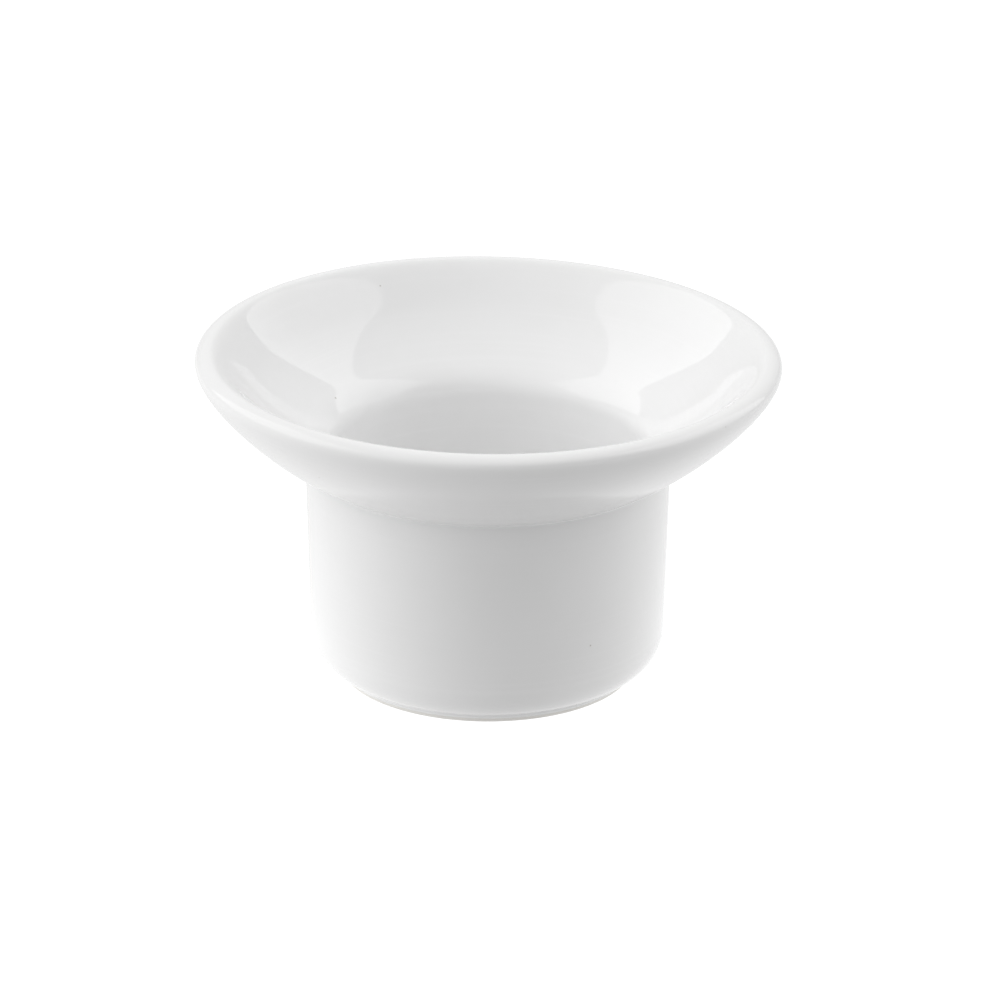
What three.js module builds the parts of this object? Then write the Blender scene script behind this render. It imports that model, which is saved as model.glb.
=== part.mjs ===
// Egg cup with a broad flared rim: one piece of fired porcelain under a clear glaze.
// Units are millimetres, +Z is up, and the origin is the centre of the foot ring's bearing face.
//
// The cup is a turned shape, so each solid is one closed outline in (radius, height) swept round the Z axis:
//   porcelain_body  the fired clay: foot ring, base, straight well, flared dish and rolled rim
//   glaze_coat      the fused glass layer, unbroken from the foot ring over the rim and down into the well
//   base_glaze      the separate patch of glaze in the recess inside the foot ring
// The foot ring is bare, because glaze there would fuse the cup to the kiln shelf.
import * as THREE from "three";

// Driving dimensions of the finished, glazed surface.
const HEIGHT = 49;
const RIM_RADIUS = 42.5;
const RIM_WIDEST_HEIGHT = 47.6;
const RIM_CREST_RADIUS = 40.4;
const LIP_SIDE_PULL = 1.1;
const LIP_CREST_PULL = 0.75;

const CREASE_RADIUS = 26.6; // where the dish's underside meets the barrel
const CREASE_HEIGHT = 32.5;
const CREASE_FILLET = 0.9; // how far the fillet reaches along each side of the crease
const UNDERSIDE_RISE = THREE.MathUtils.degToRad(28); // above the horizontal, just outside the crease
const UNDERSIDE_LOW_PULL = 7.2;
const UNDERSIDE_RIM_PULL = 2.8;

const BARREL_BOTTOM_RADIUS = 25.9; // less than at the crease: the mould's draft
const SHOULDER_ROUND = 5.4;
const FOOT_RADIUS = 22;
const FOOT_HEIGHT = 1.1; // the shoulder's lowest point above the table
const FOOT_WIDTH = 3.2;
const FOOT_EDGE_ROUND = 0.4;
const RECESS_DEPTH = 1.8;
const RECESS_ROUND = 1;

// Inside the rim the dish's wall rolls over from the crest, steepens past the roll point, flattens to the
// ease point and then turns down into the well.
const CREST_PULL = 1.1;
const ROLL_RADIUS = 34.8;
const ROLL_HEIGHT = 44.2;
const ROLL_SLOPE = THREE.MathUtils.degToRad(45.7);
const ROLL_PULL_OUT = 4.8;
const ROLL_PULL_IN = 4.5;
const EASE_RADIUS = 25.4;
const EASE_HEIGHT = 37.7;
const EASE_SLOPE = THREE.MathUtils.degToRad(31.2);
const EASE_PULL_OUT = 1.3;
const EASE_PULL_IN = 2.8;

const WELL_MOUTH_RADIUS = 22.5;
const WELL_MOUTH_HEIGHT = 33.4; // top of the straight wall
const WELL_MOUTH_PULL = 1.5;
const WELL_FLOOR_RADIUS = 22.2;
const WELL_FLOOR_HEIGHT = 5.8;
const WELL_CORNER_ROUND = 7;

const GLAZE = 0.3; // thickness
const GLAZE_EDGE_HEIGHT = 0.7; // the glaze stops this far above the table

const TURN_STEPS = 48; // facets round the axis
const QUARTER = Math.PI / 2;

const at = (radius, height) => new THREE.Vector2(radius, height);
const towards = (point, angle, distance) =>
  at(point.x + distance * Math.cos(angle), point.y + distance * Math.sin(angle));

/** A round stretch of an outline, from one angle to another about its centre. */
function arc(centre, radius, from, to, steps) {
  const points = [];
  for (let i = 0; i <= steps; i++) points.push(towards(centre, from + ((to - from) * i) / steps, radius));
  return points;
}

/** A smooth stretch of an outline that leaves one point and arrives at another in given directions. */
function sweep(start, startPull, endPull, end, steps) {
  return new THREE.CubicBezierCurve(start, startPull, endPull, end).getPoints(steps);
}

/** Joins stretches, leaving out a point that repeats the one before it. */
function join(...stretches) {
  const points = [];
  for (const point of stretches.flat()) {
    const last = points[points.length - 1];
    if (!last || last.distanceTo(point) > 0.01) points.push(point);
  }
  return points;
}

/** The outline moved to its left by a distance, as seen walking along it. A point on the axis stays on it. */
function offset(points, distance) {
  return points.map((point, i) => {
    const before = points[Math.max(i - 1, 0)];
    const after = points[Math.min(i + 1, points.length - 1)];
    const into = point.clone().sub(before).normalize();
    const out = after.clone().sub(point).normalize();
    const along = into.add(out).normalize();
    const moved = at(point.x - distance * along.y, point.y + distance * along.x);
    return point.x === 0 ? at(0, moved.y) : moved;
  });
}

/** The glazed surface from the foot ring's outer side, over the rim, to the middle of the well's floor. */
function coatSkin() {
  const shoulder = at(BARREL_BOTTOM_RADIUS - SHOULDER_ROUND, FOOT_HEIGHT + SHOULDER_ROUND);
  const footAngle = -Math.acos((FOOT_RADIUS - shoulder.x) / SHOULDER_ROUND);
  const barrelBottom = at(BARREL_BOTTOM_RADIUS, shoulder.y);
  const crease = at(CREASE_RADIUS, CREASE_HEIGHT);
  const barrelAngle = Math.atan2(crease.y - barrelBottom.y, crease.x - barrelBottom.x);
  const filletLow = towards(crease, barrelAngle, -CREASE_FILLET);
  const filletHigh = towards(crease, UNDERSIDE_RISE, CREASE_FILLET);
  const rimWidest = at(RIM_RADIUS, RIM_WIDEST_HEIGHT);
  const rimCrest = at(RIM_CREST_RADIUS, HEIGHT);
  const roll = at(ROLL_RADIUS, ROLL_HEIGHT);
  const ease = at(EASE_RADIUS, EASE_HEIGHT);
  const wellMouth = at(WELL_MOUTH_RADIUS, WELL_MOUTH_HEIGHT);
  const wellCorner = at(WELL_FLOOR_RADIUS - WELL_CORNER_ROUND, WELL_FLOOR_HEIGHT + WELL_CORNER_ROUND);
  return join(
    [at(FOOT_RADIUS, GLAZE_EDGE_HEIGHT)],
    arc(shoulder, SHOULDER_ROUND, footAngle, 0, 5),
    new THREE.QuadraticBezierCurve(filletLow, crease, filletHigh).getPoints(2),
    sweep(
      filletHigh,
      towards(filletHigh, UNDERSIDE_RISE, UNDERSIDE_LOW_PULL),
      at(RIM_RADIUS, RIM_WIDEST_HEIGHT - UNDERSIDE_RIM_PULL),
      rimWidest,
      7,
    ),
    sweep(
      rimWidest,
      at(RIM_RADIUS, RIM_WIDEST_HEIGHT + LIP_SIDE_PULL),
      at(RIM_CREST_RADIUS + LIP_CREST_PULL, HEIGHT),
      rimCrest,
      4,
    ),
    sweep(rimCrest, at(rimCrest.x - CREST_PULL, HEIGHT), towards(roll, ROLL_SLOPE, ROLL_PULL_OUT), roll, 6),
    sweep(roll, towards(roll, ROLL_SLOPE, -ROLL_PULL_IN), towards(ease, EASE_SLOPE, EASE_PULL_OUT), ease, 4),
    sweep(
      ease,
      towards(ease, EASE_SLOPE, -EASE_PULL_IN),
      at(WELL_MOUTH_RADIUS, WELL_MOUTH_HEIGHT + WELL_MOUTH_PULL),
      wellMouth,
      5,
    ),
    arc(wellCorner, WELL_CORNER_ROUND, 0, -QUARTER, 4),
    [at(0, WELL_FLOOR_HEIGHT)],
  );
}

/** The glazed surface of the recess, from its middle to the foot ring's inner side. */
function recessSkin() {
  const inner = FOOT_RADIUS - FOOT_WIDTH;
  const corner = at(inner - RECESS_ROUND, RECESS_DEPTH - RECESS_ROUND);
  return join([at(0, RECESS_DEPTH)], arc(corner, RECESS_ROUND, QUARTER, 0, 3), [at(inner, GLAZE_EDGE_HEIGHT)]);
}

/** The bare foot ring, from its inner side under the bearing face to its outer side. */
function bareFoot() {
  const inner = at(FOOT_RADIUS - FOOT_WIDTH + GLAZE + FOOT_EDGE_ROUND, FOOT_EDGE_ROUND);
  const outer = at(FOOT_RADIUS - GLAZE - FOOT_EDGE_ROUND, FOOT_EDGE_ROUND);
  return join(
    arc(inner, FOOT_EDGE_ROUND, -2 * QUARTER, -QUARTER, 2),
    arc(outer, FOOT_EDGE_ROUND, -QUARTER, 0, 2),
  );
}

/** A solid swept round the Z axis from a closed outline. */
function turned(name, outline, material) {
  const geometry = new THREE.LatheGeometry(outline, TURN_STEPS);
  geometry.rotateX(QUARTER);
  const mesh = new THREE.Mesh(geometry, material);
  mesh.name = name;
  return mesh;
}

const bisque = new THREE.MeshStandardMaterial({ color: 0xe9e6e0, roughness: 0.75, metalness: 0 });
const glaze = new THREE.MeshStandardMaterial({ color: 0xf4f4f3, roughness: 0.08, metalness: 0 });

const coat = coatSkin();
const coatInside = offset(coat, GLAZE);
const recess = recessSkin();
const recessInside = offset(recess, GLAZE);

const eggCup = new THREE.Group();
eggCup.add(
  turned("porcelain_body", join(recessInside, bareFoot(), coatInside), bisque),
  turned("glaze_coat", join(coatInside.slice().reverse(), coat), glaze),
  turned("base_glaze", join(recess, recessInside.slice().reverse()), glaze),
);

export default eggCup;
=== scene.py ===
"""The looks of a white porcelain egg cup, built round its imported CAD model.

Each CAD solid is stood for by a finely turned mesh of the same layer: the fired clay body, the glaze coat
over it and the patch of glaze in the foot's recess. +Z is up and the cup stands on z = 0. The cup's own sizes
are in millimetres, the stage's in metres.
"""
import math

import bpy
import numpy as np
from mathutils import Matrix, Vector


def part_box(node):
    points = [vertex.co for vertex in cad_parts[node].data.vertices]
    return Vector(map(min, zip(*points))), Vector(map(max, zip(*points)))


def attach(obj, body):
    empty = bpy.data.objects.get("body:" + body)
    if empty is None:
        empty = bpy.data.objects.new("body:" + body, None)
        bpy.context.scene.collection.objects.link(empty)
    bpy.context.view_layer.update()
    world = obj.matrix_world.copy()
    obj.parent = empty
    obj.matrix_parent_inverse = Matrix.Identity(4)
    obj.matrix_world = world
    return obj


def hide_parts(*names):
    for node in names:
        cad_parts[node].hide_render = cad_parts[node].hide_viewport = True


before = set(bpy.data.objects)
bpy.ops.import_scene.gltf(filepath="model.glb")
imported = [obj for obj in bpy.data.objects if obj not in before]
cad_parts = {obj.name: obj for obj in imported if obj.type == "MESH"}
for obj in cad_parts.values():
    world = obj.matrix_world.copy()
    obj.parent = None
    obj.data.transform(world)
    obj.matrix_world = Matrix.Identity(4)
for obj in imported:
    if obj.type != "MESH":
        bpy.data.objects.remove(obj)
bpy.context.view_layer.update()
coat_low, coat_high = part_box("glaze_coat")
base_low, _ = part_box("base_glaze")

MM = 0.001
QUARTER = math.pi / 2

# The finished surface, in millimetres as on the CAD drawing. The overall sizes come from the frame.
HEIGHT = coat_high.z / MM
RIM_RADIUS = coat_high.x / MM
RIM_WIDEST_HEIGHT = 47.6
RIM_CREST_RADIUS = 40.4
LIP_SIDE_PULL = 1.1
LIP_CREST_PULL = 0.75
CREASE = (26.6, 32.5)
CREASE_FILLET = 0.9
UNDERSIDE_RISE = math.radians(28)
UNDERSIDE_LOW_PULL = 7.2
UNDERSIDE_RIM_PULL = 2.8
BARREL_BOTTOM_RADIUS = 25.9
SHOULDER_ROUND = 5.4
FOOT_RADIUS = 22.0
FOOT_HEIGHT = 1.1
FOOT_EDGE_ROUND = 0.4
RECESS_RADIUS = 18.8
RECESS_DEPTH = 1.8
RECESS_ROUND = 1.0
GLAZE = 0.3
GLAZE_EDGE_HEIGHT = coat_low.z / MM
GLAZE_EDGE_ROUND = 0.14

# Inside the dish the wall rolls over from the crest, eases at a low point and drops into the well.
RIM_CREST_PULL = 1.1
ROLL_POINT = (34.84, 44.23)
ROLL_SLOPE = math.radians(45.7)
ROLL_PULL_OUT = 4.8
ROLL_PULL_IN = 4.52
EASE_POINT = (25.41, 37.68)
EASE_SLOPE = math.radians(31.2)
EASE_PULL_OUT = 1.34
EASE_PULL_IN = 2.8
WELL_MOUTH = (22.5, 33.4)
WELL_MOUTH_PULL = 1.48
WELL_FLOOR_RADIUS = 22.2
WELL_FLOOR_HEIGHT = 5.8
WELL_CORNER_ROUND = 7.0

TURN_STEPS = 400
HIDDEN_FINENESS = 0.3  # of the surface between the clay and the glaze, which can't be seen
SAME_POINT = 0.004  # closer points than this are one point

# How the rim moved in the kiln.
RIM_FALL = 0.009  # the rim leans down to +X: its slope
RIM_WAVE = 0.07
OVAL = 0.0012
OVAL_ANGLE = 0.5
WAVE_TWICE_PHASE = 1.1
WAVE_THRICE = 0.5
WAVE_THRICE_PHASE = 0.4


# Outlines are lists of (radius, height) in millimetres.

def towards(point, angle, distance):
    return (point[0] + distance * math.cos(angle), point[1] + distance * math.sin(angle))


def arc(centre, radius, start, end, steps):
    return [towards(centre, start + (end - start) * i / steps, radius) for i in range(steps + 1)]


def sweep(start, start_pull, end_pull, end, steps):
    points = []
    for i in range(steps + 1):
        t = i / steps
        weights = ((1 - t) ** 3, 3 * t * (1 - t) ** 2, 3 * t * t * (1 - t), t ** 3)
        corners = (start, start_pull, end_pull, end)
        points.append(tuple(sum(w * c[axis] for w, c in zip(weights, corners)) for axis in (0, 1)))
    return points


def line(start, end, steps):
    return [(start[0] + (end[0] - start[0]) * i / steps, start[1] + (end[1] - start[1]) * i / steps)
            for i in range(steps + 1)]


def join(*stretches):
    points = []
    for stretch in stretches:
        for point in stretch:
            if not points or math.dist(points[-1], point) > SAME_POINT:
                points.append(point)
    return points


def offset(points, distance):
    """The outline moved to its left, as seen walking along it. A point on the axis stays on it."""
    moved = []
    for i, point in enumerate(points):
        before = points[max(i - 1, 0)]
        after = points[min(i + 1, len(points) - 1)]
        into = Vector((point[0] - before[0], point[1] - before[1])).normalized()
        out = Vector((after[0] - point[0], after[1] - point[1])).normalized()
        along = (into + out).normalized()
        radius = 0.0 if point[0] == 0 else point[0] - distance * along.y
        moved.append((radius, point[1] + distance * along.x))
    return moved


def coat_skin(fineness=1.0):
    """The glazed surface from the foot ring's outer side, over the rim, to the middle of the well's floor."""
    def steps(count):
        return max(2, round(count * fineness))

    shoulder = (BARREL_BOTTOM_RADIUS - SHOULDER_ROUND, FOOT_HEIGHT + SHOULDER_ROUND)
    foot_angle = -math.acos((FOOT_RADIUS - shoulder[0]) / SHOULDER_ROUND)
    barrel_bottom = (BARREL_BOTTOM_RADIUS, shoulder[1])
    barrel_angle = math.atan2(CREASE[1] - barrel_bottom[1], CREASE[0] - barrel_bottom[0])
    fillet_low = towards(CREASE, barrel_angle, -CREASE_FILLET)
    fillet_high = towards(CREASE, UNDERSIDE_RISE, CREASE_FILLET)
    widest = (RIM_RADIUS, RIM_WIDEST_HEIGHT)
    crest = (RIM_CREST_RADIUS, HEIGHT)
    well_corner = (WELL_FLOOR_RADIUS - WELL_CORNER_ROUND, WELL_FLOOR_HEIGHT + WELL_CORNER_ROUND)
    return join(
        line((FOOT_RADIUS, GLAZE_EDGE_HEIGHT), towards(shoulder, foot_angle, SHOULDER_ROUND), steps(4)),
        arc(shoulder, SHOULDER_ROUND, foot_angle, 0, steps(18)),
        line(barrel_bottom, fillet_low, steps(6)),
        sweep(fillet_low, CREASE, CREASE, fillet_high, steps(8)),
        sweep(fillet_high, towards(fillet_high, UNDERSIDE_RISE, UNDERSIDE_LOW_PULL),
              (RIM_RADIUS, widest[1] - UNDERSIDE_RIM_PULL), widest, steps(30)),
        sweep(widest, (RIM_RADIUS, widest[1] + LIP_SIDE_PULL),
              (crest[0] + LIP_CREST_PULL, HEIGHT), crest, steps(14)),
        sweep(crest, (crest[0] - RIM_CREST_PULL, crest[1]),
              towards(ROLL_POINT, ROLL_SLOPE, ROLL_PULL_OUT), ROLL_POINT, steps(20)),
        sweep(ROLL_POINT, towards(ROLL_POINT, ROLL_SLOPE, -ROLL_PULL_IN),
              towards(EASE_POINT, EASE_SLOPE, EASE_PULL_OUT), EASE_POINT, steps(24)),
        sweep(EASE_POINT, towards(EASE_POINT, EASE_SLOPE, -EASE_PULL_IN),
              (WELL_MOUTH[0], WELL_MOUTH[1] + WELL_MOUTH_PULL), WELL_MOUTH, steps(20)),
        line(WELL_MOUTH, (WELL_FLOOR_RADIUS, well_corner[1]), steps(6)),
        arc(well_corner, WELL_CORNER_ROUND, 0, -QUARTER, steps(14)),
        line((well_corner[0], WELL_FLOOR_HEIGHT), (0, WELL_FLOOR_HEIGHT), steps(4)),
    )


def recess_skin():
    """The glazed surface of the recess, from its middle to the foot ring's inner side."""
    corner = (RECESS_RADIUS - RECESS_ROUND, RECESS_DEPTH - RECESS_ROUND)
    return join(
        line((0, RECESS_DEPTH), (corner[0], RECESS_DEPTH), 5),
        arc(corner, RECESS_ROUND, QUARTER, 0, 6),
        line((RECESS_RADIUS, corner[1]), (RECESS_RADIUS, base_low.z / MM), 1),
    )


def bare_foot():
    """The bare foot ring, from its inner side under the bearing face to its outer side."""
    inner = (RECESS_RADIUS + GLAZE + FOOT_EDGE_ROUND, FOOT_EDGE_ROUND)
    outer = (FOOT_RADIUS - GLAZE - FOOT_EDGE_ROUND, FOOT_EDGE_ROUND)
    return join(
        arc(inner, FOOT_EDGE_ROUND, -2 * QUARTER, -QUARTER, 5),
        line((inner[0], 0), (outer[0], 0), 3),
        arc(outer, FOOT_EDGE_ROUND, -QUARTER, 0, 5),
    )


def fired(points):
    """Turned points moved as a cup moves in the kiln: the rim leans, waves and goes a hair oval."""
    x, y, z = points.T
    lift = np.clip((z - CREASE[1]) / (RIM_WIDEST_HEIGHT - CREASE[1]), 0, 1)
    angle = np.arctan2(y, x)
    grow = 1 + OVAL * lift * np.cos(2 * (angle - OVAL_ANGLE))
    wave = np.cos(2 * angle + WAVE_TWICE_PHASE) + WAVE_THRICE * np.cos(3 * angle - WAVE_THRICE_PHASE)
    wave = RIM_WAVE * lift * wave
    return np.stack([x * grow, y * grow, z - RIM_FALL * lift * x + wave], axis=1)


def turned(name, outline):
    """A smooth closed mesh swept round the Z axis from a closed outline."""
    ring = [point for point in outline if point[0] > 0]
    angles = np.arange(TURN_STEPS) * 2 * math.pi / TURN_STEPS
    cos, sin = np.cos(angles), np.sin(angles)
    radius = np.array([p[0] for p in ring])
    height = np.array([p[1] for p in ring])
    level = np.repeat(height[:, None], TURN_STEPS, 1)
    rows = np.stack([np.outer(radius, cos), np.outer(radius, sin), level], axis=2)
    points = [rows.reshape(-1, 3)]
    faces = []
    count = len(ring)
    closed = outline[0][0] > 0
    for i in range(count if closed else count - 1):
        here, there = i * TURN_STEPS, (i + 1) % count * TURN_STEPS
        for j in range(TURN_STEPS):
            k = (j + 1) % TURN_STEPS
            faces.append((here + j, here + k, there + k, there + j))
    if not closed:
        for end, row in ((outline[0], 0), (outline[-1], (count - 1) * TURN_STEPS)):
            tip = sum(len(p) for p in points)
            points.append(np.array([[0.0, 0.0, end[1]]]))
            for j in range(TURN_STEPS):
                k = (j + 1) % TURN_STEPS
                faces.append((tip, row + k, row + j) if row == 0 else (tip, row + j, row + k))
    mesh = bpy.data.meshes.new(name)
    mesh.from_pydata((fired(np.vstack(points)) * MM).tolist(), [], faces)
    mesh.shade_smooth()
    mesh.validate()
    piece = bpy.data.objects.new(name, mesh)
    bpy.context.scene.collection.objects.link(piece)
    return piece


class Nodes:
    """A short way to build a material's nodes."""

    def __init__(self, material):
        material.use_nodes = True
        self.material = material
        self.tree = material.node_tree
        self.shader = self.tree.nodes.get("Principled BSDF")

    def add(self, kind, inputs=(), **settings):
        node = self.tree.nodes.new("ShaderNode" + kind)
        for key, value in settings.items():
            setattr(node, key, value)
        for key, value in dict(inputs).items():
            if isinstance(value, bpy.types.NodeSocket):
                self.tree.links.new(value, node.inputs[key])
            else:
                node.inputs[key].default_value = value
        return node

    def maths(self, operation, *values):
        return self.add("Math", enumerate(values), operation=operation).outputs["Value"]

    def ramp(self, value, start, end, low=0.0, high=1.0):
        """Goes smoothly from low to high as the value goes from start to end, which may lie below the start."""
        if start > end:
            start, end, low, high = end, start, high, low
        limits = {"From Min": start, "From Max": end, "To Min": low, "To Max": high}
        node = self.add("MapRange", {"Value": value, **limits}, interpolation_type="SMOOTHSTEP")
        return node.outputs["Result"]

    def mixed(self, factor, first, second):
        node = self.add("Mix", data_type="RGBA")
        sockets = (node.inputs[0], node.inputs[6], node.inputs[7])
        for socket, value in zip(sockets, (factor, first, second)):
            if isinstance(value, bpy.types.NodeSocket):
                self.tree.links.new(value, socket)
            else:
                socket.default_value = value
        return node.outputs[2]

    def link(self, output, name):
        self.tree.links.new(output, self.shader.inputs[name])


GLAZE_WHITE = (0.93, 0.93, 0.93, 1)
GLAZE_CLOUD = (0.92, 0.92, 0.919, 1)
GLAZE_RINGS = (0.934, 0.934, 0.934, 1)
GLAZE_THIN = (0.915, 0.914, 0.911, 1)
# Pooled glaze's faint tint, made a shade darker as painted shade for the crease, the foot and the well's
# corner.
GLAZE_POOLED_AND_SHADED = (0.9, 0.902, 0.902, 1)
SPECK = (0.5, 0.46, 0.42, 1)
GLAZE_IOR = 1.52
GLAZE_WAVE = 0.000006  # height of the ripples, in metres
RING_SCALE = 1.3       # turning rings to the millimetre, roughly
RING_SHARE = 0.35      # of the ripples' height
SPECK_CELLS = 800      # to the metre; one cell in 400 holds a speck
SPECK_CHOSEN = 0.9975
BARE_GRAIN_HEIGHT = 0.00003
BARE_WHITE = (0.84, 0.825, 0.795, 1)
BARE_GRAIN = (0.8, 0.785, 0.75, 1)
BARE_WORN = (0.6, 0.58, 0.55, 1)


def height_and_radius(n, place):
    """The height above the table and the distance from the axis, in millimetres."""
    parts = n.add("SeparateXYZ", {"Vector": place})
    flat = n.add("CombineXYZ", {"X": parts.outputs["X"], "Y": parts.outputs["Y"]})
    radius = n.add("VectorMath", {0: flat.outputs["Vector"]}, operation="LENGTH")
    return n.maths("DIVIDE", parts.outputs["Z"], MM), n.maths("DIVIDE", radius.outputs["Value"], MM)


def glaze_material():
    """Clear glaze over white porcelain: thinner at the lip, pooled and darkened with painted shade in the
    crease, near the foot and in the well's corner, with a few iron specks.
    """
    n = Nodes(bpy.data.materials.new("clear_white_glaze"))
    place = n.add("TexCoord").outputs["Object"]
    height, radius = height_and_radius(n, place)

    level, out = (n.maths("MULTIPLY", value, RING_SCALE) for value in (height, radius))
    turning = n.add("CombineXYZ", {"X": level, "Y": out})
    rings = n.add("TexNoise", {"Vector": turning.outputs["Vector"], "Scale": 1, "Detail": 2}).outputs["Fac"]
    cloud = n.add("TexNoise", {"Vector": place, "Scale": 70, "Detail": 3})
    colour = n.mixed(n.ramp(cloud.outputs["Fac"], 0.4, 0.65), GLAZE_WHITE, GLAZE_CLOUD)
    colour = n.mixed(n.ramp(rings, 0.5, 0.75), colour, GLAZE_RINGS)
    lip = n.ramp(height, HEIGHT - 2.2, HEIGHT - 0.1)
    lip = n.maths("MULTIPLY", lip, n.ramp(cloud.outputs["Fac"], 0.25, 0.6))
    colour = n.mixed(lip, colour, GLAZE_THIN)
    # Painted shade: the glaze is made a little darker in the crease under the flare, near the foot and in the
    # well's corner, where shade falls; the faint tint there is pooled glaze.
    crease = n.ramp(n.maths("ABSOLUTE", n.maths("SUBTRACT", height, CREASE[1])), 1.6, 0)
    crease = n.maths("MULTIPLY", crease, n.ramp(radius, 24, 26))
    foot = n.ramp(height, GLAZE_EDGE_HEIGHT + 1.3, GLAZE_EDGE_HEIGHT + 0.1)
    corner = n.ramp(height, WELL_FLOOR_HEIGHT + 5, WELL_FLOOR_HEIGHT)
    corner = n.maths("MULTIPLY", corner, n.ramp(radius, 22.8, 19))
    corner = n.maths("MULTIPLY", corner, n.ramp(radius, 8, 17))
    pooled_and_shaded = n.maths("MAXIMUM", n.maths("MAXIMUM", crease, foot), corner)
    colour = n.mixed(n.maths("MULTIPLY", pooled_and_shaded, 0.8), colour, GLAZE_POOLED_AND_SHADED)

    cell = n.add("TexVoronoi", {"Vector": place, "Scale": SPECK_CELLS})
    tone = n.add("SeparateColor", {"Color": cell.outputs["Color"]})
    chosen = n.maths("GREATER_THAN", tone.outputs["Red"], SPECK_CHOSEN)
    speck = n.maths("MULTIPLY", chosen, n.ramp(cell.outputs["Distance"], 0.2, 0.08))
    colour = n.mixed(n.maths("MULTIPLY", speck, tone.outputs["Green"]), colour, SPECK)
    n.link(colour, "Base Color")

    smear = n.add("TexNoise", {"Vector": place, "Scale": 35, "Detail": 5, "Roughness": 0.6})
    worn = n.ramp(height, GLAZE_EDGE_HEIGHT + 2.2, GLAZE_EDGE_HEIGHT)
    gloss = n.ramp(smear.outputs["Fac"], 0.35, 0.75, 0.03, 0.065)
    n.link(n.maths("ADD", gloss, n.maths("MULTIPLY", worn, 0.12)), "Roughness")
    n.shader.inputs["IOR"].default_value = GLAZE_IOR

    ripple = n.add("TexNoise", {"Vector": place, "Scale": 240, "Detail": 2})
    waves = n.maths("MULTIPLY_ADD", rings, RING_SHARE, ripple.outputs["Fac"])
    waves = n.maths("SUBTRACT", waves, n.maths("MULTIPLY", speck, 0.6))
    bump = n.add("Bump", {"Height": waves, "Strength": 1, "Distance": GLAZE_WAVE})
    n.link(bump.outputs["Normal"], "Normal")
    return n.material


def bare_material():
    """Fired, unglazed porcelain: fine grain, a little grey where the foot ring has slid on tables."""
    n = Nodes(bpy.data.materials.new("bare_porcelain"))
    place = n.add("TexCoord").outputs["Object"]
    height, radius = height_and_radius(n, place)
    grain = n.add("TexNoise", {"Vector": place, "Scale": 5000, "Detail": 4})
    blotch = n.add("TexNoise", {"Vector": place, "Scale": 300, "Detail": 4})
    worn = n.maths("MULTIPLY", n.ramp(height, 0.25, 0.02), n.ramp(blotch.outputs["Fac"], 0.42, 0.62))
    colour = n.mixed(n.ramp(grain.outputs["Fac"], 0.3, 0.7), BARE_WHITE, BARE_GRAIN)
    n.link(n.mixed(n.maths("MULTIPLY", worn, 0.6), colour, BARE_WORN), "Base Color")
    n.link(n.ramp(blotch.outputs["Fac"], 0.3, 0.7, 0.6, 0.78), "Roughness")
    bump = n.add("Bump", {"Height": grain.outputs["Fac"], "Strength": 0.8, "Distance": BARE_GRAIN_HEIGHT})
    n.link(bump.outputs["Normal"], "Normal")
    return n.material


def cup():
    coat = coat_skin()
    coat_inside = offset(coat_skin(HIDDEN_FINENESS), GLAZE)
    recess = recess_skin()
    recess_inside = offset(recess, GLAZE)
    glaze, bare = glaze_material(), bare_material()
    edge = (FOOT_RADIUS - GLAZE_EDGE_ROUND, GLAZE_EDGE_HEIGHT + GLAZE_EDGE_ROUND)
    bead = arc(edge, GLAZE_EDGE_ROUND, -QUARTER, 0, 6)
    inner_edge = (RECESS_RADIUS + GLAZE_EDGE_ROUND, GLAZE_EDGE_HEIGHT + GLAZE_EDGE_ROUND)
    inner_bead = arc(inner_edge, GLAZE_EDGE_ROUND, 2 * QUARTER, 3 * QUARTER, 6)
    body = join(recess_inside, bare_foot(), coat_inside)
    upper = join(coat_inside[::-1], bead, coat[1:])
    lower = join(recess[:-1], inner_bead, recess_inside[::-1])
    pieces = (
        ("fired_body", body, bare, "porcelain_body", "bare_porcelain"),
        ("gloss_coat", upper, glaze, "glaze_coat", "clear_white_glaze"),
        ("recess_glaze", lower, glaze, "base_glaze", "clear_white_glaze"),
    )
    for name, outline, material, node, slot in pieces:
        piece = turned(name, outline)
        piece.data.materials.append(material)
        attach(piece, "root")
        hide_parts(node)


# Stage, lights and camera

def plane(name, centre, across, up, material):
    """A flat four-cornered card."""
    mesh = bpy.data.meshes.new(name)
    corners = [centre + a * across + b * up for a, b in ((-1, -1), (1, -1), (1, 1), (-1, 1))]
    mesh.from_pydata([tuple(c) for c in corners], [], [(0, 1, 2, 3)])
    card = bpy.data.objects.new(name, mesh)
    bpy.context.scene.collection.objects.link(card)
    card.data.materials.append(material)
    return card


def glowing(name):
    """A material that only sends out white light. Its strength is still to be set."""
    n = Nodes(bpy.data.materials.new(name))
    n.shader.inputs["Base Color"].default_value = (0, 0, 0, 1)
    n.shader.inputs["Specular IOR Level"].default_value = 0
    n.shader.inputs["Emission Color"].default_value = (1, 1, 1, 1)
    return n


def only_camera(thing):
    for ray in ("diffuse", "glossy", "transmission", "volume_scatter", "shadow"):
        setattr(thing, "visible_" + ray, False)


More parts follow.
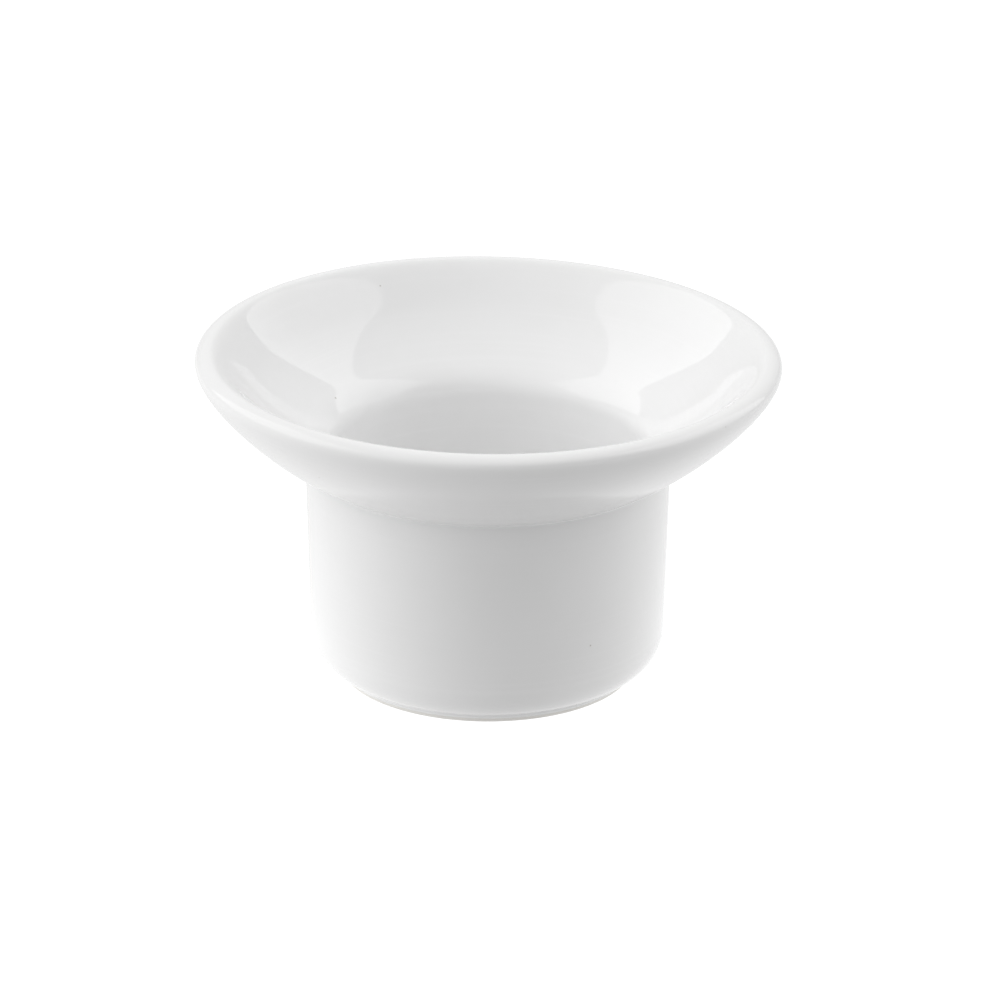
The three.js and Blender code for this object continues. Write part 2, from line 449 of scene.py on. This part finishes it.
def softbox(name, azimuth, elevation, distance, half_width, half_height, roll, radiance):
    """A rectangular lamp that faces the cup."""
    out = pointing(azimuth, elevation)
    side = pointing(azimuth + 90, 0)
    up = side.cross(out)
    if up.z < 0:
        up = -up
    turn = math.radians(roll) * (1 if azimuth > 0 else -1)
    side, up = side * math.cos(turn) + up * math.sin(turn), up * math.cos(turn) - side * math.sin(turn)
    data = bpy.data.lights.new(name, "AREA")
    data.shape = "RECTANGLE"
    data.size, data.size_y = 2 * half_width, 2 * half_height
    data.energy = radiance * math.pi * data.size * data.size_y
    lamp = bpy.data.objects.new(name, data)
    axes = Matrix((side, up, side.cross(up))).transposed()
    if axes.col[2].dot(out) < 0:
        axes.col[0] = -axes.col[0]
        axes.col[2] = -axes.col[2]
    lamp.matrix_world = Matrix.Translation(out * distance + Vector((0, 0, DISH_LEVEL))) @ axes.to_4x4()
    bpy.context.scene.collection.objects.link(lamp)


CAMERA_ELEVATION = 0.3822
CAMERA_DISTANCE = 1.0327
CAMERA_ROLL = 0.0061
CAMERA_AIM = (0.00178, 0, 0.024)
CAMERA_LIFT = 0.00181  # of the aim, square to the line of sight
FRAME_WIDTH = 0.146107  # across the picture, at the aim
SENSOR_WIDTH = 36


def camera():
    up = Vector((0, math.sin(CAMERA_ELEVATION), math.cos(CAMERA_ELEVATION)))
    back = Vector((0, -math.cos(CAMERA_ELEVATION), math.sin(CAMERA_ELEVATION)))
    aim = Vector(CAMERA_AIM) + up * CAMERA_LIFT
    data = bpy.data.cameras.new("camera")
    data.sensor_width = SENSOR_WIDTH
    data.lens = SENSOR_WIDTH * CAMERA_DISTANCE / FRAME_WIDTH
    data.clip_end = 50
    eye = bpy.data.objects.new("camera", data)
    eye.rotation_mode = "QUATERNION"
    eye.location = aim + back * CAMERA_DISTANCE
    turn = (-back).to_track_quat("-Z", "Y").to_matrix()
    eye.rotation_quaternion = (turn @ Matrix.Rotation(CAMERA_ROLL, 3, "Z")).to_quaternion()
    bpy.context.scene.collection.objects.link(eye)
    bpy.context.scene.camera = eye


STAGE_REACH = 3.0
GLANCING_BOUNCES = 16  # light skims round inside the dish in many shallow bounces
SOFTBOX_RADIANCE = 0.95
WHITE_GLOW = 1.2   # of the floor and walls that only the camera sees
DISH_LEVEL = 0.04  # the softboxes face the axis at this height

# The room is an even glow with broad soft lights in it: (azimuth, elevation, radiance). A black flag takes
# light away.
ROOM_LEVEL = 0.46
ROOM_TOP = 0.15
ROOM_LIGHTS = {
    "left_wall": (262, 22, 0.43),
    "front_left_fill": (215, 32, 0.42),
    "right_wall": (80, 8, 0.15),
    "back_wall": (0, 25, 0.3),
    "front_right_flag": (148, 4, -0.5),
}
ROOM_LIGHT_FOCUS = 4  # the higher, the narrower

# The glowing table that lights the cup and that the camera doesn't see: its level, how much lighter or darker
# it is in places, and how far from the axis each change is halved.
TABLE_LEVEL = 0.85
TABLE_SIDES = 0.14
TABLE_SIDES_REACH = 0.2
TABLE_FRONT = -0.56
TABLE_FRONT_START = 0.022
TABLE_FRONT_REACH = 0.25
TABLE_UNDER_CUP = 0.42
TABLE_UNDER_REACH = 0.019


def pointing(azimuth, elevation):
    """The direction from the cup towards a light. Azimuth 0 is +Y, behind the cup, and 90 is +X."""
    a, e = math.radians(azimuth), math.radians(elevation)
    return Vector((math.sin(a) * math.cos(e), math.cos(a) * math.cos(e), math.sin(e)))


def room():
    world = bpy.data.worlds.new("room")
    bpy.context.scene.world = world
    n = Nodes(world)
    outwards = n.add("TexCoord").outputs["Generated"]
    rise = n.add("SeparateXYZ", {"Vector": outwards}).outputs["Z"]
    light = n.maths("MULTIPLY_ADD", rise, ROOM_TOP, ROOM_LEVEL)
    for azimuth, elevation, radiance in ROOM_LIGHTS.values():
        facing = n.add("VectorMath", {0: outwards, 1: pointing(azimuth, elevation)}, operation="DOT_PRODUCT")
        facing = n.maths("MAXIMUM", facing.outputs["Value"], 0)
        light = n.maths("MULTIPLY_ADD", n.maths("POWER", facing, ROOM_LIGHT_FOCUS), radiance, light)
    n.tree.links.new(n.maths("MAXIMUM", light, 0.02), n.tree.nodes["Background"].inputs["Strength"])
    n.tree.nodes["Background"].inputs["Color"].default_value = (1, 1, 1, 1)


def table_material():
    """A glowing table, brighter at the cup's sides and under it, and darker in front of it."""
    n = glowing("table_paper")
    place = n.add("TexCoord").outputs["Object"]
    reach = n.maths("MAXIMUM", n.add("VectorMath", {0: place}, operation="LENGTH").outputs["Value"], 0.001)

    def fading(distance):
        """1 at the cup's axis, a half at the given distance, and 0 far off."""
        ratio = n.maths("DIVIDE", reach, distance)
        return n.maths("DIVIDE", 1, n.maths("MULTIPLY_ADD", ratio, ratio, 1))

    def towards_side(direction, both_ways):
        along = n.add("VectorMath", {0: place, 1: direction}, operation="DOT_PRODUCT").outputs["Value"]
        along = n.maths("DIVIDE", along, reach)
        return n.maths("POWER", n.maths("ABSOLUTE" if both_ways else "MAXIMUM", along, 0), 2)

    sides = n.maths("MULTIPLY", towards_side(pointing(90, 0), True), fading(TABLE_SIDES_REACH))
    front = n.maths("MULTIPLY", towards_side(pointing(172, 0), False), fading(TABLE_FRONT_REACH))
    front = n.maths("MULTIPLY", front, n.maths("SUBTRACT", 1, fading(TABLE_FRONT_START)))
    glow = n.maths("MULTIPLY_ADD", sides, TABLE_SIDES, TABLE_LEVEL)
    glow = n.maths("MULTIPLY_ADD", front, TABLE_FRONT, glow)
    glow = n.maths("MULTIPLY_ADD", fading(TABLE_UNDER_REACH), TABLE_UNDER_CUP, glow)
    n.link(glow, "Emission Strength")
    return n.material


def studio():
    reach = (Vector((STAGE_REACH, 0, 0)), Vector((0, STAGE_REACH, 0)))
    floor = plane("floor", Vector((0, 0, -0.0001)), *reach, table_material())
    floor.visible_camera = False
    white = glowing("white")
    white.shader.inputs["Emission Strength"].default_value = WHITE_GLOW
    white = white.material
    only_camera(plane("white_floor", Vector((0, 0, -0.0002)), *reach, white))
    for azimuth in (0, 90, 180, 270):
        out, side = pointing(azimuth, 0) * STAGE_REACH, pointing(azimuth + 90, 0) * STAGE_REACH
        only_camera(plane(f"white_wall_{azimuth}", out, side, Vector((0, 0, STAGE_REACH)), white))
    softbox("left_softbox", -73.9, 41.0, 1.178, 0.712, 0.42, 5.8, SOFTBOX_RADIANCE)
    softbox("right_softbox", 76.1, 34.9, 0.88, 0.541, 0.36, 9.6, SOFTBOX_RADIANCE)
    room()
    scene = bpy.context.scene
    scene.view_settings.view_transform = "Standard"
    scene.cycles.glossy_bounces = GLANCING_BOUNCES
    scene.cycles.max_bounces = GLANCING_BOUNCES + 8


cup()
studio()
camera()
